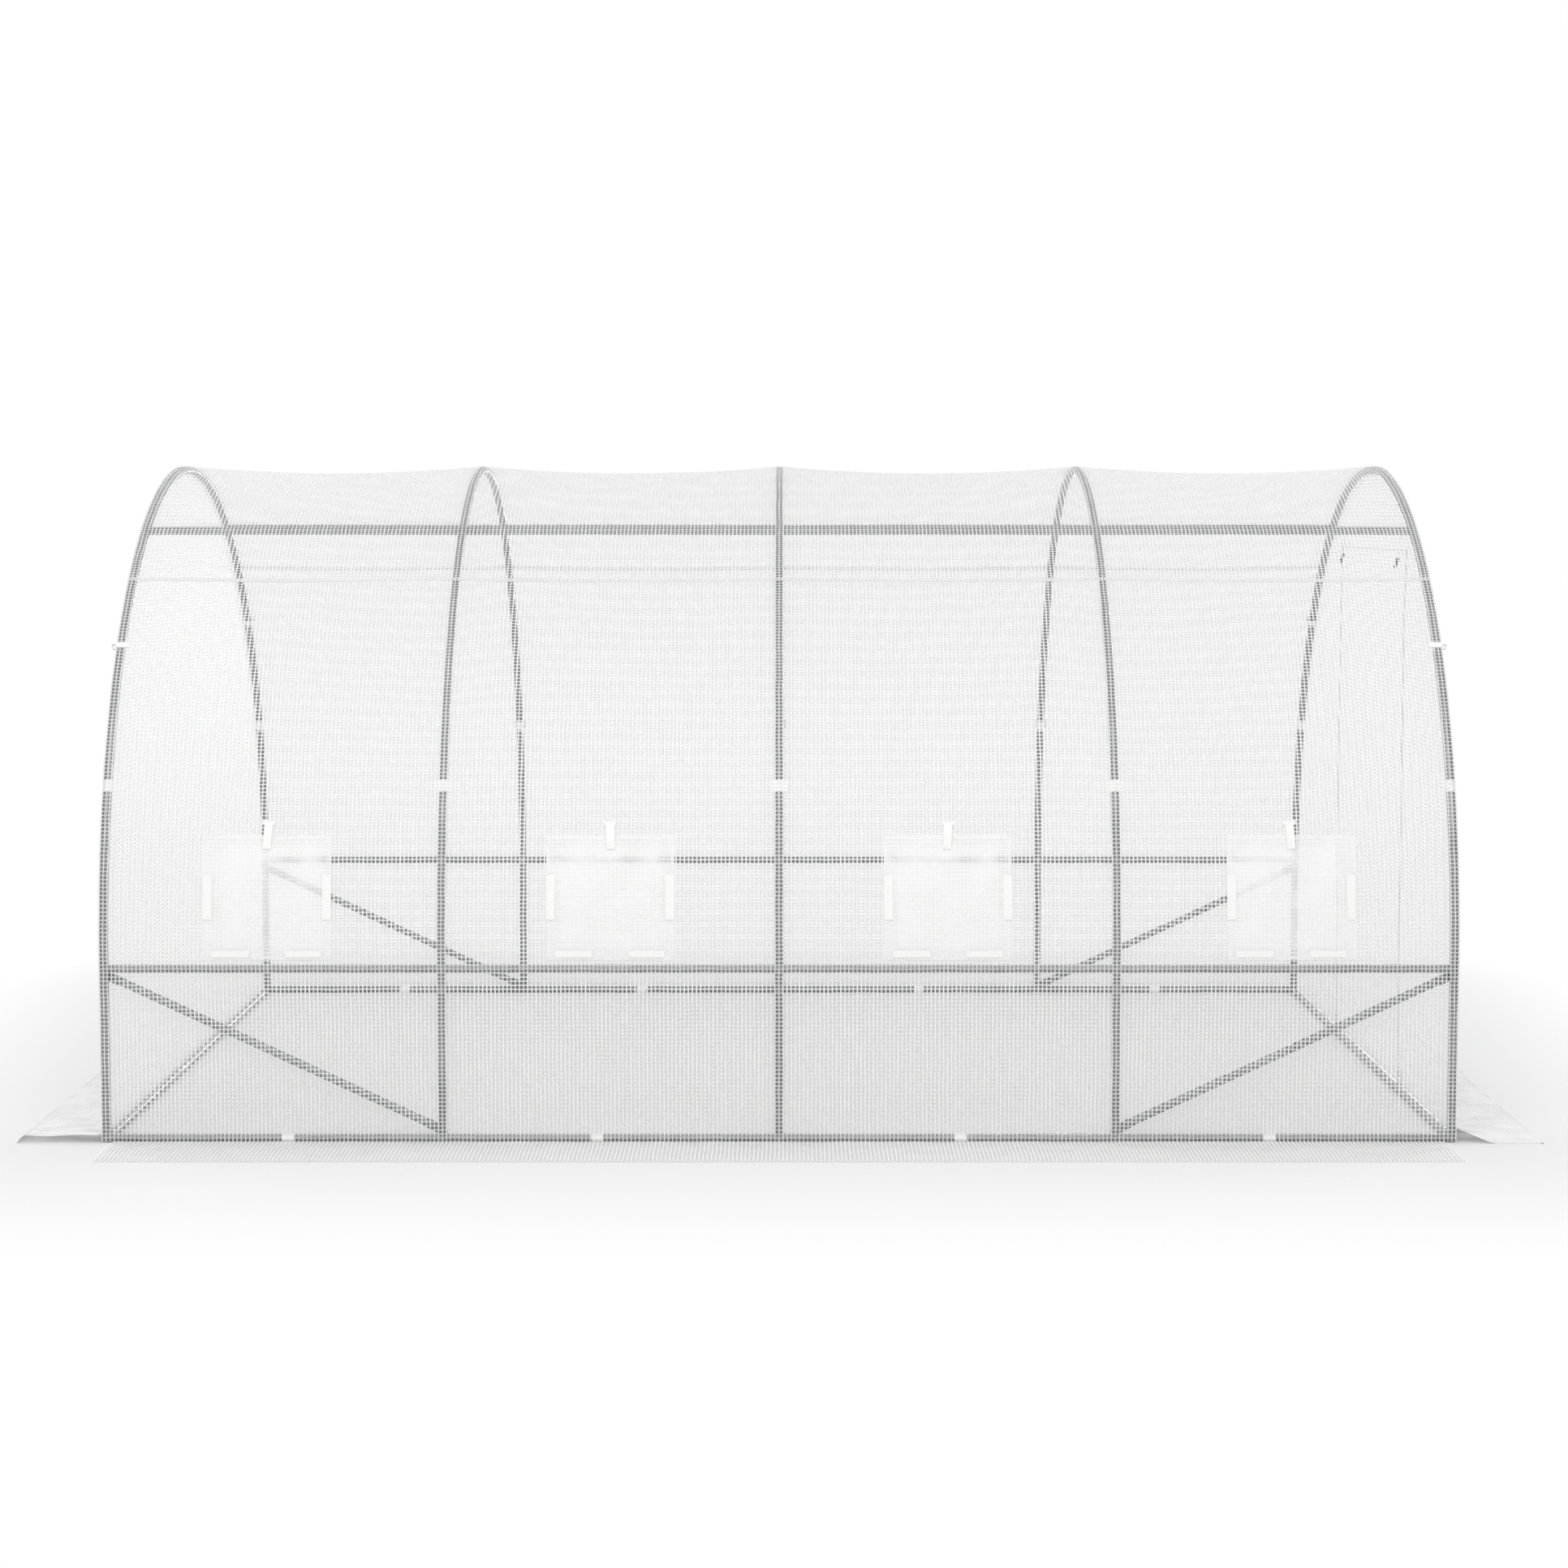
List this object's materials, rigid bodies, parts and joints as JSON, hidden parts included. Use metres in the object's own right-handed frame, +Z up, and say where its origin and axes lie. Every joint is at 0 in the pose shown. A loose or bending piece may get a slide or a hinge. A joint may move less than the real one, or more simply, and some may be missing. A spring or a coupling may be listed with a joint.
{
  "type": "polytunnel greenhouse",
  "caption": "Walk-in polytunnel greenhouse: round-topped tube frame under a translucent reinforced film cover with roll-up side windows, a zipped end door and ground skirts.",
  "frame": {"origin": "ground level at the middle of the tunnel, under the crown of the middle hoop", "axes": "+X along the tunnel towards the door end, +Y across it towards the back, +Z up"},
  "size_m": [4.5516, 3.5866, 2.0231],
  "materials": {
    "galvanised_steel": "satin",
    "cover_film": "satin",
    "window_net": "matte",
    "white_webbing": "matte",
    "dark_plastic": "matte"
  },
  "bodies": {
    "root": {"hoop_1": "galvanised_steel", "hoop_2": "galvanised_steel", "hoop_3": "galvanised_steel", "hoop_4": "galvanised_steel", "hoop_5": "galvanised_steel", "front_base_rail": "galvanised_steel", "back_base_rail": "galvanised_steel", "left_base_rail": "galvanised_steel", "right_base_rail": "galvanised_steel", "front_side_rail": "galvanised_steel", "back_side_rail": "galvanised_steel", "front_purlin": "galvanised_steel", "back_purlin": "galvanised_steel", "front_left_brace": "galvanised_steel", "front_right_brace": "galvanised_steel", "back_left_brace": "galvanised_steel", "back_right_brace": "galvanised_steel", "front_wall_cover": "cover_film", "back_wall_cover": "cover_film", "front_window_band": "cover_film", "back_band_cover": "cover_film", "front_shoulder_cover": "cover_film", "back_shoulder_cover": "cover_film", "roof_cover": "cover_film", "left_end_panel": "cover_film", "right_end_front_panel": "cover_film", "right_end_back_panel": "cover_film", "right_end_top_panel": "cover_film", "door_panel": "cover_film", "door_zips": "white_webbing", "door_ties": "white_webbing", "door_toggles": "dark_plastic", "front_window_nets": "window_net", "front_window_flaps": "cover_film", "front_skirt": "cover_film", "back_skirt": "cover_film", "left_skirt": "cover_film", "right_skirt": "cover_film", "front_hoop_straps": "white_webbing", "back_hoop_straps": "white_webbing", "front_base_straps": "white_webbing", "back_base_straps": "white_webbing"}
  },
  "joints": []
}
